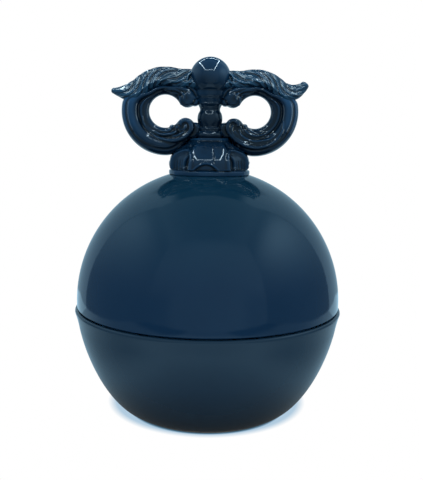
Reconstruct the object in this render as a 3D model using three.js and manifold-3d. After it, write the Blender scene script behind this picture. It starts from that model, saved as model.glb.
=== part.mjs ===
// A round lidded yarn bowl in glazed stoneware: a full-bellied bowl on a turned foot, a domed lid that
// drops into the bowl's mouth by a flange, and on the lid a lobed pedestal, a turned stem and a knob
// between two pierced C-scrolls, each with an acanthus leaf laid over its back.
// Millimetres, +Z up, the origin on the table under the middle of the foot.
import * as THREE from 'three';
import { mergeVertices } from 'three/addons/utils/BufferGeometryUtils.js';
import Module from 'manifold-3d';

const wasm = await Module();
wasm.setup();

// Whole ball
const ballRadius = 75;
const footHeight = 63.7;          // from the table up to the middle of the ball
const seamDrop = 3.65;            // the seam between lid and bowl, below the middle of the ball
const wall = 5;
const fit = 0.3;                  // gap between pieces that touch
const edgeRound = 1.4;            // rounded edge of lid and bowl at the seam
const weldGap = 1e-4;             // corners of a skin nearer than this are one
const seamZ = footHeight - seamDrop;

// Bowl
const footRadius = 45;
const footWidth = 6.5;
const footRecess = 2.5;
const floorThickness = 6;
const lipProud = 1.1;             // the bowl's lip stands out past the lid
const lipFade = 8;                // and runs out over this height
const bowlFullness = 1.53;

// Flange under the lid
const flangeThickness = 3.5;
const flangeDrop = 6;             // below the seam, inside the bowl's mouth
const flangeRise = 3.5;           // above the seam, against the lid's inside
const flangeClearance = 0.6;

// Pedestal
const pedestalRadius = 22.8;
const pedestalBand = 2.6;         // height of the plain band at its bottom
const pedestalHeight = 17;        // above the crown of the lid
const pedestalTopRadius = 10.6;
const pedestalLobes = 4;
const lobeDepth = 3.6;

// Stem
const stemHeight = 18.5;
const stemRadius = 7.6;
const stemNeckRadius = 6.3;
const stemRingRadius = 8.5;
const stemRingHeight = 3.2;

// Knob
const knobRadius = 11.4;
const knobNeck = 14.2;            // from the knob's lowest point up to the middle of its ball

// C-scrolls, seen from the front, each a ring left open towards the stem
const scrollReach = 25;           // from the stem's axis to the middle of the ring
const scrollRise = 14.6;          // from the pedestal's top to the middle of the ring
const loopRadius = 9.1;
const scrollWidth = 15.5;
const archWidth = 6;              // of the scroll where the leaf lies over it
const scrollDepth = 13;           // front to back
const grooveDepth = 1;
const lowerCurlRadius = 5.6;
const upperCurlRadius = 5.2;
const upperSpread = 6.5;            // how much the band widens where it meets the knob
const curlDepth = 13.6;
const curlRidge = 1.1;
const heelRadius = 2.5;           // of the lump of clay that holds the upper curl to the stem's neck

// Acanthus leaves
const leafOverlap = 1.4;          // of the scroll's face by the leaf's lower edge
const leafDrop = 1;               // below the knob's middle, where the leaf grows out of it
const leafDepth = 14.4;
const leafFluteDepth = 0.9;
const leafTipWidth = 3.6;
const leafShapes = {
  left: { width: 10.9, reach: 55.3, rise: 11.2, slope: 12 },
  right: { width: 10, reach: 53.7, rise: 16.8, slope: 42 },
};

// Facets
const roundSides = 48;
const turnedSides = 28;
const pedestalSides = 56;

const bowlColour = 0x24384a;
const lidColour = 0x1c3c56;
const knobColour = 0x234862;

const vector2 = (x, y) => new THREE.Vector2(x, y);
const radians = THREE.MathUtils.degToRad;
const smooth = (from, to, x) => THREE.MathUtils.smoothstep(x, from, to);
const mix = THREE.MathUtils.lerp;

// Shared corners and no empty triangles, so the skin is one closed surface.
function closed(geometry) {
  geometry.deleteAttribute('normal');
  geometry.deleteAttribute('uv');
  const merged = mergeVertices(geometry, weldGap);
  const index = merged.getIndex().array;
  const kept = [];
  for (let i = 0; i < index.length; i += 3) {
    const [a, b, c] = [index[i], index[i + 1], index[i + 2]];
    if (a !== b && b !== c && c !== a) kept.push(a, b, c);
  }
  merged.setIndex(kept);
  return merged;
}

// A profile of radius and height turned about Z. It runs with the material on its left.
function turned(profile, sides) {
  const lathe = new THREE.LatheGeometry(profile, sides);
  lathe.rotateX(Math.PI / 2);
  return closed(lathe);
}

// A skin over a row of rings with equally many points, closed to the middle of the ring at each end.
function lofted(rings) {
  const sides = rings[0].length;
  const points = rings.flat();
  const faces = [];
  for (let r = 0; r + 1 < rings.length; r += 1) {
    for (let s = 0; s < sides; s += 1) {
      const a = r * sides + s;
      const b = r * sides + (s + 1) % sides;
      faces.push(a, b, b + sides, a, b + sides, a + sides);
    }
  }
  for (const end of [0, rings.length - 1]) {
    const middle = new THREE.Vector3();
    rings[end].forEach((point) => middle.addScaledVector(point, 1 / sides));
    const hub = points.push(middle) - 1;
    for (let s = 0; s < sides; s += 1) {
      const a = end * sides + s;
      const b = end * sides + (s + 1) % sides;
      if (end === 0) faces.push(hub, b, a);
      else faces.push(hub, a, b);
    }
  }
  const geometry = new THREE.BufferGeometry().setFromPoints(points);
  geometry.setIndex(faces);
  return closed(geometry);
}

function toSolid(geometry) {
  const vertProperties = new Float32Array(geometry.getAttribute('position').array);
  const triVerts = new Uint32Array(geometry.getIndex().array);
  return new wasm.Manifold(new wasm.Mesh({ numProp: 3, vertProperties, triVerts }));
}

function toGeometry(solid) {
  const { vertProperties, triVerts } = solid.getMesh();
  const geometry = new THREE.BufferGeometry();
  geometry.setAttribute('position', new THREE.BufferAttribute(new Float32Array(vertProperties), 3));
  geometry.setIndex(new THREE.BufferAttribute(new Uint32Array(triVerts), 1));
  return geometry;
}

// Quarter of a superellipse between two radii and two heights, flat where it reaches the second.
function belly(fromRadius, fromZ, toRadius, toZ, steps) {
  const points = [];
  for (let i = 0; i <= steps; i += 1) {
    const t = i / steps * Math.PI / 2;
    points.push(vector2(
      toRadius + (fromRadius - toRadius) * Math.cos(t) ** (2 / bowlFullness),
      fromZ + (toZ - fromZ) * Math.sin(t) ** (2 / bowlFullness),
    ));
  }
  return points;
}

function arc(centreX, centreY, radius, fromAngle, toAngle, steps) {
  const points = [];
  for (let i = 0; i <= steps; i += 1) {
    const angle = radians(mix(fromAngle, toAngle, i / steps));
    points.push(vector2(centreX + radius * Math.cos(angle), centreY + radius * Math.sin(angle)));
  }
  return points;
}

// Bowl: belly, flat foot ring with a recess inside it, even wall, and a lip that stands a little proud
const flangeRadius = ballRadius - wall - fit;
const mouthRadius = flangeRadius + flangeClearance;
const bowlTop = seamZ - fit / 2;
const lipRadius = ballRadius + lipProud;

function bowlGeometry() {
  const outside = belly(ballRadius, bowlTop - edgeRound, footRadius, 0, 11).map((point) => {
    const fade = Math.max(0, 1 - (bowlTop - edgeRound - point.y) / lipFade);
    return vector2(point.x + lipProud * fade ** 2, point.y);
  });
  const floorTop = footRecess + floorThickness;
  const inside = belly(mouthRadius, bowlTop - edgeRound, footRadius - wall, floorTop, 7);
  const recessRadius = footRadius - footWidth;
  const profile = [
    vector2(0, footRecess),
    vector2(recessRadius - footRecess, footRecess),
    vector2(recessRadius, 0),
    ...outside.reverse(),
    ...arc(lipRadius - edgeRound, bowlTop - edgeRound, edgeRound, 30, 90, 2),
    ...arc(mouthRadius + edgeRound, bowlTop - edgeRound, edgeRound, 90, 150, 2),
    ...inside,
    vector2(0, floorTop),
  ];
  return turned(profile, roundSides);
}

// Lid dome: a shell of the ball above the seam, its inside straight where the flange stands
const lidBottom = seamZ + fit / 2;
const lidInside = ballRadius - wall;

function domeGeometry() {
  const lowestAngle = THREE.MathUtils.radToDeg(Math.asin((lidBottom + edgeRound - footHeight) / ballRadius));
  const edgeRadius = ballRadius * Math.cos(radians(lowestAngle));
  const profile = [
    vector2(lidInside, lidBottom),
    ...arc(edgeRadius - edgeRound, lidBottom + edgeRound, edgeRound, -90, -30, 2),
    ...arc(0, footHeight, ballRadius, lowestAngle, 90, 11),
    ...arc(0, footHeight, lidInside, 90, 0, 8),
  ];
  profile.push(profile[0].clone());
  return turned(profile, roundSides);
}

// Flange: the ring under the lid that centres it in the bowl's mouth
function flangeGeometry() {
  const innerRadius = flangeRadius - flangeThickness;
  const bottom = seamZ - flangeDrop;
  const top = seamZ + flangeRise;
  const bevel = flangeThickness / 4;
  const profile = [
    vector2(innerRadius, bottom),
    vector2(flangeRadius - bevel, bottom),
    vector2(flangeRadius, bottom + bevel),
    vector2(flangeRadius, top),
    vector2(innerRadius + bevel, top),
    vector2(innerRadius, top - bevel),
    vector2(innerRadius, bottom),
  ];
  return turned(profile, roundSides);
}

// Pedestal: a bell with lobes round it, over a plain band, hollowed below to sit on the dome
const crownZ = footHeight + ballRadius;
const seatRadius = ballRadius + fit;
const pedestalTop = crownZ + pedestalHeight;

function pedestalGeometry(grow) {
  const seat = (radius) => footHeight + Math.sqrt(seatRadius ** 2 - radius ** 2);
  const edgeZ = seat(pedestalRadius);
  const bandTop = edgeZ + pedestalBand;
  const rise = pedestalTop - bandTop;
  // Radius and height shares of the bell, from the band up to the stem, and how deep the lobes are there
  const bellShares = [
    [0.965, 0.01, 0.3], [0.985, 0.1, 0.8], [0.985, 0.27, 1], [0.95, 0.44, 1], [0.85, 0.6, 0.8],
    [0.69, 0.75, 0.5], [0.55, 0.88, 0.2],
  ];
  const ring = (radius, z, lobed) => {
    const points = [];
    for (let s = 0; s < pedestalSides; s += 1) {
      const angle = s / pedestalSides * 2 * Math.PI;
      const groove = Math.abs(Math.sin(pedestalLobes / 2 * (angle - Math.PI / 2))) ** 3;
      const r = radius - lobed * lobeDepth * groove + grow;
      points.push(new THREE.Vector3(r * Math.cos(angle), r * Math.sin(angle), typeof z === 'function' ? z(r) : z));
    }
    return points;
  };
  const rings = [
    ring(0, seat, 0),
    ring(pedestalRadius / 2, seat, 0),
    ring(pedestalRadius, edgeZ, 0),
    ring(pedestalRadius, bandTop - pedestalBand / 8, 0),
    ...bellShares.map(([radiusShare, heightShare, lobed]) => (
      ring(pedestalRadius * radiusShare, bandTop + rise * heightShare, lobed))),
    ring(pedestalTopRadius, pedestalTop + grow, 0),
  ];
  return lofted(rings);
}

// Stem: a ring, then a swelling bulb that draws in to a neck
const stemBottom = pedestalTop + fit;
const stemTop = stemBottom + stemHeight;

function stemGeometry(grow) {
  const ringTop = stemBottom + stemRingHeight;
  const bulb = stemTop - ringTop;
  const waistRadius = stemRingRadius - stemRingHeight / 4;
  const profile = [
    vector2(0, stemBottom - grow),
    vector2(stemRingRadius + grow, stemBottom - grow),
    ...arc(stemRingRadius - stemRingHeight / 4, stemBottom + stemRingHeight / 2, stemRingHeight / 2 + grow, -60, 60, 3),
    vector2(waistRadius - stemRingHeight / 4 + grow, ringTop),
    vector2(stemRadius + grow, ringTop + bulb * 0.18),
    vector2(stemRadius + grow, ringTop + bulb * 0.45),
    vector2(mix(stemNeckRadius, stemRadius, 0.65) + grow, ringTop + bulb * 0.68),
    vector2(mix(stemNeckRadius, stemRadius, 0.15) + grow, ringTop + bulb * 0.88),
    vector2(stemNeckRadius + grow, stemTop + grow),
    vector2(0, stemTop + grow),
  ];
  return turned(profile, turnedSides);
}

// Knob: a ball that draws in below to the stem's neck
const knobBottom = stemTop + fit;
const knobZ = knobBottom + knobNeck;

function knobGeometry(grow) {
  const taperAngle = -38;
  const shoulder = arc(0, knobZ, knobRadius + grow, taperAngle, 90, 9);
  const taperStart = shoulder[0];
  const neckShares = [[0, 0], [0.12, 0.2], [0.42, 0.48]];
  const neck = neckShares.map(([outShare, upShare]) => vector2(
    mix(stemNeckRadius + grow, taperStart.x, outShare),
    mix(knobBottom - grow, taperStart.y, upShare),
  ));
  return turned([vector2(0, knobBottom - grow), ...neck, ...shoulder], turnedSides);
}

// C-scroll: a grooved band round the loop, rolled up into a curl at both ends
const ringZ = pedestalTop + scrollRise;
const lowerEnd = -137;
const upperEnd = 150;
const upperTuck = 8;              // how far the band runs on into the upper curl

// A point in the plane of the scrolls, by its angle and distance from the middle of the ring
function ringPoint(angle, distance) {
  const turn = radians(angle);
  return vector2(scrollReach + distance * Math.cos(turn), ringZ + distance * Math.sin(turn));
}

// Half sections from the inner edge to the outer edge: how far out, and how thick
function bandSection(halfWidth, halfDepth, groove, sides) {
  const section = [];
  for (let s = 0; s < sides; s += 1) {
    const angle = s / sides * 2 * Math.PI;
    const across = Math.sign(Math.cos(angle)) * Math.abs(Math.cos(angle)) ** 0.9;
    const round = Math.sign(Math.sin(angle)) * Math.abs(Math.sin(angle)) ** 0.75;
    const cut = Math.exp(-(((across + 0.35) / 0.16) ** 2)) + Math.exp(-(((across - 0.12) / 0.16) ** 2));
    section.push(vector2(halfWidth * across, round * (halfDepth - groove * cut)));
  }
  return section;
}

function bandGeometry(grow) {
  const rings = [];
  const steps = 26;
  for (let i = 0; i <= steps; i += 1) {
    const angle = mix(lowerEnd, upperEnd + upperTuck, i / steps);
    const under = 1 - smooth(lowerEnd, lowerEnd + 45, angle);
    const over = smooth(10, 54, angle);
    const spread = smooth(95, upperEnd, angle) * upperSpread;
    const width = mix(scrollWidth, archWidth, over) - under * scrollWidth / 4 + spread;
    const depth = mix(scrollDepth, scrollDepth * 0.8, over) - under * scrollDepth / 10;
    const middle = loopRadius + width / 2;
    const groove = grooveDepth * (1 - over * 0.6);
    const section = bandSection(width / 2 + grow, depth / 2 + grow, groove, 18);
    rings.push(section.map(({ x, y }) => {
      const place = ringPoint(angle, middle + x);
      return new THREE.Vector3(place.x, y, place.y);
    }));
  }
  return lofted(rings);
}

// A curl: a thick disc whose front and back carry a spiral ridge, winding in to an eye
function curlGeometry(centre, radius, startAngle, hand, grow) {
  const rings = [];
  const sides = 16;
  const rimShares = [0.2, 0.45, 0.68, 0.86, 1];
  const faceShares = [1, 0.98, 0.95, 0.86, 0.45];
  const ring = (out, face, side) => {
    const points = [];
    for (let s = 0; s < sides; s += 1) {
      const angle = s / sides * 2 * Math.PI;
      const wound = (angle * hand - radians(startAngle)) / (2 * Math.PI) + out * 1.5;
      const ridge = out < 0.9 ? curlRidge * (Math.cos(2 * Math.PI * wound) - 1) / 2 : 0;
      const halfDepth = (curlDepth / 2 + ridge) * face + grow;
      const r = radius * out + grow;
      points.push(new THREE.Vector3(
        centre.x + r * Math.cos(angle), side * halfDepth, centre.y + r * Math.sin(angle)));
    }
    return points;
  };
  rimShares.forEach((out, i) => rings.push(ring(out, faceShares[i], 1)));
  rimShares.forEach((out, i) => rings.unshift(ring(out, faceShares[i], -1)));
  return lofted(rings);
}

function heelGeometry(grow) {
  const heel = new THREE.SphereGeometry(heelRadius + grow, 10, 6);
  heel.scale(1, scrollDepth / 3 / heelRadius, 1);
  heel.translate(stemNeckRadius + heelRadius * 0.9, 0, knobBottom + heelRadius / 3);
  return closed(heel);
}

function scrollSolid(grow) {
  const lower = ringPoint(lowerEnd - 5, loopRadius + lowerCurlRadius * 0.95);
  const upper = ringPoint(upperEnd, loopRadius + upperCurlRadius);
  return toSolid(bandGeometry(grow))
    .add(toSolid(curlGeometry(lower, lowerCurlRadius, 200, 1, grow)))
    .add(toSolid(curlGeometry(upper, upperCurlRadius, 160, -1, grow)))
    .add(toSolid(heelGeometry(grow)));
}

// Acanthus leaf: along the scroll's back from the knob, then out to a free tip, with slanting flutes
const leafRoot = 108;             // where its middle line comes onto the ring
const leafTurn = 48;              // and where it leaves it for the tip

function leafLine({ width, reach, rise, slope }) {
  const leafMiddle = loopRadius + archWidth - leafOverlap + width / 2;
  const start = ringPoint(leafRoot, leafMiddle);
  const leave = ringPoint(leafTurn, leafMiddle);
  const along = vector2(Math.sin(radians(leafTurn)), -Math.cos(radians(leafTurn)));
  const end = vector2(reach, ringZ + rise);
  const lift = vector2(Math.cos(radians(slope)), Math.sin(radians(slope)));
  const line = new THREE.CurvePath();
  line.add(new THREE.LineCurve(vector2(knobRadius / 2, knobZ - leafDrop), start));
  line.add(new THREE.EllipseCurve(
    scrollReach, ringZ, leafMiddle, leafMiddle, radians(leafRoot), radians(leafTurn), true));
  line.add(new THREE.CubicBezierCurve(
    leave,
    leave.clone().addScaledVector(along, width * 0.7),
    end.clone().addScaledVector(lift, -width * 0.8),
    end,
  ));
  return line;
}

function leafGeometry(shape, grow) {
  const line = leafLine(shape);
  const rings = [];
  const steps = 22;
  const sides = 16;
  for (let i = 0; i <= steps; i += 1) {
    const t = i / steps;
    const middle = line.getPointAt(t);
    const tangent = line.getTangentAt(t);
    const taper = 1 - smooth(0.74, 1, t);
    const halfWidth = mix(leafTipWidth, shape.width, taper) / 2 + grow;
    const halfDepth = mix(leafTipWidth, leafDepth, taper) / 2 + grow;
    const ring = [];
    for (let s = 0; s < sides; s += 1) {
      const angle = (s + 0.5) / sides * 2 * Math.PI;
      const slant = t * 9 + Math.abs(Math.sin(angle)) * 0.9;
      const flute = leafFluteDepth * taper * (1 - Math.cos(2 * Math.PI * slant)) / 2;
      const out = (halfWidth - flute / 2) * Math.cos(angle);
      const round = Math.sin(angle);
      const drape = Math.cos(angle) < 0 ? mix(1, 0.3, taper) : 1;
      const side = (halfDepth - flute) * Math.sign(round) * Math.abs(round) ** drape;
      ring.push(new THREE.Vector3(middle.x + tangent.y * out, side, middle.y - tangent.x * out));
    }
    rings.push(ring);
  }
  return lofted(rings);
}

function mirrored(solid, side) {
  return side === 'left' ? solid.mirror([1, 0, 0]) : solid;
}

// Put the pieces together
function glazed(colour) {
  return new THREE.MeshStandardMaterial({ color: colour, roughness: 0.15, metalness: 0 });
}

const yarnBowl = new THREE.Group();

function place(name, geometry, colour) {
  const piece = new THREE.Mesh(geometry, glazed(colour));
  piece.name = name;
  yarnBowl.add(piece);
}

place('bowl', bowlGeometry(), bowlColour);
place('lid_dome', domeGeometry(), lidColour);
place('lid_flange', flangeGeometry(), lidColour);
place('finial_pedestal', pedestalGeometry(0), knobColour);
place('finial_stem', stemGeometry(0), knobColour);
place('finial_knob', knobGeometry(0), knobColour);

const core = toSolid(pedestalGeometry(fit))
  .add(toSolid(stemGeometry(fit)))
  .add(toSolid(knobGeometry(fit)));
const scroll = scrollSolid(0).subtract(core);
const scrollRoom = scrollSolid(fit).add(core);

for (const side of ['left', 'right']) {
  place(`scroll_${side}`, toGeometry(mirrored(scroll, side)), knobColour);
  const leaf = toSolid(leafGeometry(leafShapes[side], 0)).subtract(scrollRoom);
  place(`leaf_${side}`, toGeometry(mirrored(leaf, side)), knobColour);
}

export default yarnBowl;
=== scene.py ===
# A round lidded yarn bowl in dark blue glazed stoneware: the bowl, the domed lid with the flange under it,
# and on the lid a lobed pedestal, a turned stem and a knob between two pierced scrolls with their leaves.
import math

import bpy
import numpy as np
from mathutils import Matrix, Vector


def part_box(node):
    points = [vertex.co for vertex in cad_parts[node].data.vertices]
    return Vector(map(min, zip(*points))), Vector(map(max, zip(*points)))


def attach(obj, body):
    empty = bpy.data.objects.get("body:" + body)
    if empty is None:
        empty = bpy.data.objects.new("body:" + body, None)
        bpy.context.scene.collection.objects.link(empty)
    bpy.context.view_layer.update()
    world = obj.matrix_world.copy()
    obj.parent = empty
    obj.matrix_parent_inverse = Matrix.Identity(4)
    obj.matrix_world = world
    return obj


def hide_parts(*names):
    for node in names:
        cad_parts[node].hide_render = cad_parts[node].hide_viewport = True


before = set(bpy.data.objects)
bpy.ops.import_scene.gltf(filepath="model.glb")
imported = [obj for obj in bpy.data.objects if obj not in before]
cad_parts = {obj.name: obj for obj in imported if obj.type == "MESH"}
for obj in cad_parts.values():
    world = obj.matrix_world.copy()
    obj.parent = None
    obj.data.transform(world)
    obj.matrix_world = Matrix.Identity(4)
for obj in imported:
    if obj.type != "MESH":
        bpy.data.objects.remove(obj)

bpy.context.view_layer.update()


# Bowl
# The real one is thrown in stoneware on a wheel: a full belly on a flat foot ring, with a rolled lip.
# It is dipped in a dark blue glaze inside and out, and the foot ring is wiped bare before the firing.
ball_radius = 0.075
ball_height = 0.0637
bowl_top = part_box("bowl")[1].z
lip_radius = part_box("bowl")[1].x
lip_round = 0.0014
lip_fade = 0.008
mouth_radius = 0.0703
foot_radius = 0.045
foot_width = 0.0065
foot_hollow = 0.0025
foot_round = 0.0008
floor_thickness = 0.006
wall = 0.005
fullness = 1.53
wheel_sides = 200


def arc(middle_radius, middle_height, bend, start, end, steps):
    angles = np.radians(np.linspace(start, end, steps + 1))
    return [(middle_radius + bend * math.cos(a), middle_height + bend * math.sin(a)) for a in angles]


def belly(foot, foot_height, rim, rim_height, steps):
    power = 2 / fullness
    points = []
    for turn in np.linspace(0, math.pi / 2, steps + 1):
        out = foot + (rim - foot) * math.cos(turn) ** power
        points.append((out, rim_height + (foot_height - rim_height) * math.sin(turn) ** power))
    return points


def join_nodes(tree, pairs):
    for source, target in pairs:
        tree.links.new(source, target)


def throwing_wheel():
    """Turns a profile of radius (X) and height (Z) about the Z axis, a little wavy as a hand leaves it."""
    tree = bpy.data.node_groups.new("throwing_wheel", "GeometryNodeTree")
    face = tree.interface
    face.new_socket("Profile", in_out="INPUT", socket_type="NodeSocketGeometry")
    face.new_socket("Sides", in_out="INPUT", socket_type="NodeSocketInt")
    face.new_socket("Waviness", in_out="INPUT", socket_type="NodeSocketFloat")
    face.new_socket("Wave Size", in_out="INPUT", socket_type="NodeSocketFloat")
    face.new_socket("Seed", in_out="INPUT", socket_type="NodeSocketFloat")
    face.new_socket("Glaze", in_out="INPUT", socket_type="NodeSocketMaterial")
    face.new_socket("Pot", in_out="OUTPUT", socket_type="NodeSocketGeometry")

    def node(kind, **settings):
        made = tree.nodes.new(kind)
        for name, value in settings.items():
            setattr(made, name, value)
        return made

    given = node("NodeGroupInput")
    count = node("GeometryNodeAttributeDomainSize", component="MESH")
    around = node("ShaderNodeMath", operation="ADD")
    around.inputs[1].default_value = 1
    grid = node("GeometryNodeMeshGrid")
    index = node("GeometryNodeInputIndex")
    row = node("ShaderNodeMath", operation="FLOORED_MODULO")
    column = node("ShaderNodeMath", operation="DIVIDE")
    whole = node("ShaderNodeMath", operation="FLOOR")
    place = node("GeometryNodeInputPosition")
    sample = node("GeometryNodeSampleIndex", data_type="FLOAT_VECTOR", domain="POINT")
    split = node("ShaderNodeSeparateXYZ")
    share = node("ShaderNodeMath", operation="DIVIDE")
    angle = node("ShaderNodeMath", operation="MULTIPLY")
    angle.inputs[1].default_value = 2 * math.pi
    cosine = node("ShaderNodeMath", operation="COSINE")
    sine = node("ShaderNodeMath", operation="SINE")
    along_x = node("ShaderNodeMath", operation="MULTIPLY")
    along_y = node("ShaderNodeMath", operation="MULTIPLY")
    round_point = node("ShaderNodeCombineXYZ")
    shrink = node("ShaderNodeMath", operation="DIVIDE")
    shrink.inputs[0].default_value = 1
    noise = node("ShaderNodeTexNoise", noise_dimensions="4D")
    noise.inputs["Detail"].default_value = 1
    drawn_in = node("ShaderNodeMath", operation="MULTIPLY")
    kept = node("ShaderNodeMath", operation="SUBTRACT")
    kept.inputs[0].default_value = 1
    squeeze = node("ShaderNodeCombineXYZ")
    squeeze.inputs["Z"].default_value = 1
    wavy = node("ShaderNodeVectorMath", operation="MULTIPLY")
    put = node("GeometryNodeSetPosition")
    weld = node("GeometryNodeMergeByDistance")
    weld.inputs["Distance"].default_value = 0.00001
    soft = node("GeometryNodeSetShadeSmooth")
    real = node("GeometryNodeRealizeInstances")
    coat = node("GeometryNodeSetMaterial")
    out = node("NodeGroupOutput")
    join_nodes(tree, [
        (given.outputs["Profile"], count.inputs["Geometry"]),
        (given.outputs["Sides"], around.inputs[0]),
        (around.outputs[0], grid.inputs["Vertices X"]),
        (count.outputs["Point Count"], grid.inputs["Vertices Y"]),
        (index.outputs[0], row.inputs[0]),
        (count.outputs["Point Count"], row.inputs[1]),
        (index.outputs[0], column.inputs[0]),
        (count.outputs["Point Count"], column.inputs[1]),
        (column.outputs[0], whole.inputs[0]),
        (given.outputs["Profile"], sample.inputs["Geometry"]),
        (place.outputs[0], sample.inputs["Value"]),
        (row.outputs[0], sample.inputs["Index"]),
        (sample.outputs[0], split.inputs[0]),
        (whole.outputs[0], share.inputs[0]),
        (given.outputs["Sides"], share.inputs[1]),
        (share.outputs[0], angle.inputs[0]),
        (angle.outputs[0], cosine.inputs[0]),
        (angle.outputs[0], sine.inputs[0]),
        (cosine.outputs[0], along_x.inputs[0]),
        (split.outputs["X"], along_x.inputs[1]),
        (sine.outputs[0], along_y.inputs[0]),
        (split.outputs["X"], along_y.inputs[1]),
        (along_x.outputs[0], round_point.inputs["X"]),
        (along_y.outputs[0], round_point.inputs["Y"]),
        (split.outputs["Z"], round_point.inputs["Z"]),
        (given.outputs["Wave Size"], shrink.inputs[1]),
        (round_point.outputs[0], noise.inputs["Vector"]),
        (shrink.outputs[0], noise.inputs["Scale"]),
        (given.outputs["Seed"], noise.inputs["W"]),
        (noise.outputs[0], drawn_in.inputs[0]),
        (given.outputs["Waviness"], drawn_in.inputs[1]),
        (drawn_in.outputs[0], kept.inputs[1]),
        (kept.outputs[0], squeeze.inputs["X"]),
        (kept.outputs[0], squeeze.inputs["Y"]),
        (round_point.outputs[0], wavy.inputs[0]),
        (squeeze.outputs[0], wavy.inputs[1]),
        (grid.outputs["Mesh"], put.inputs["Geometry"]),
        (wavy.outputs[0], put.inputs["Position"]),
        (put.outputs[0], weld.inputs["Geometry"]),
        (weld.outputs[0], soft.inputs["Geometry"]),
        (soft.outputs[0], real.inputs[0]),
        (real.outputs[0], coat.inputs["Geometry"]),
        (given.outputs["Glaze"], coat.inputs["Material"]),
        (coat.outputs[0], out.inputs["Pot"]),
    ])
    return tree


def set_inputs(modifier, values):
    for item in modifier.node_group.interface.items_tree:
        if item.item_type == "SOCKET" and item.in_out == "INPUT" and item.name in values:
            modifier[item.identifier] = values[item.name]


def settled(maker, name):
    """The plain mesh that an object's modifiers make, as a new object at the origin."""
    bpy.context.view_layer.update()
    seen = bpy.context.evaluated_depsgraph_get()
    evaluated = maker.evaluated_get(seen)
    mesh = bpy.data.meshes.new_from_object(evaluated, preserve_all_data_layers=True, depsgraph=seen)
    bpy.data.objects.remove(maker)
    mesh.name = name
    piece = bpy.data.objects.new(name, mesh)
    bpy.context.scene.collection.objects.link(piece)
    return piece


def from_lines(name, points, edges):
    mesh = bpy.data.meshes.new(name + "_lines")
    mesh.from_pydata(points, edges, [])
    drawn = bpy.data.objects.new(name + "_lines", mesh)
    bpy.context.scene.collection.objects.link(drawn)
    return drawn


wheel = throwing_wheel()


def thrown(name, profile, glaze, waviness=0.0015, wave_size=0.03, seed=0.0, sides=wheel_sides):
    points = [(radius, 0, height) for radius, height in profile]
    drawn = from_lines(name, points, [(i, i + 1) for i in range(len(points) - 1)])
    turning = drawn.modifiers.new("wheel", "NODES")
    turning.node_group = wheel
    set_inputs(turning, {"Sides": sides, "Waviness": waviness, "Wave Size": wave_size, "Seed": seed,
                         "Glaze": glaze})
    return settled(drawn, name)


bare_clay, bare_clay_roughness = (0.42, 0.35, 0.27), 0.85


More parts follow.
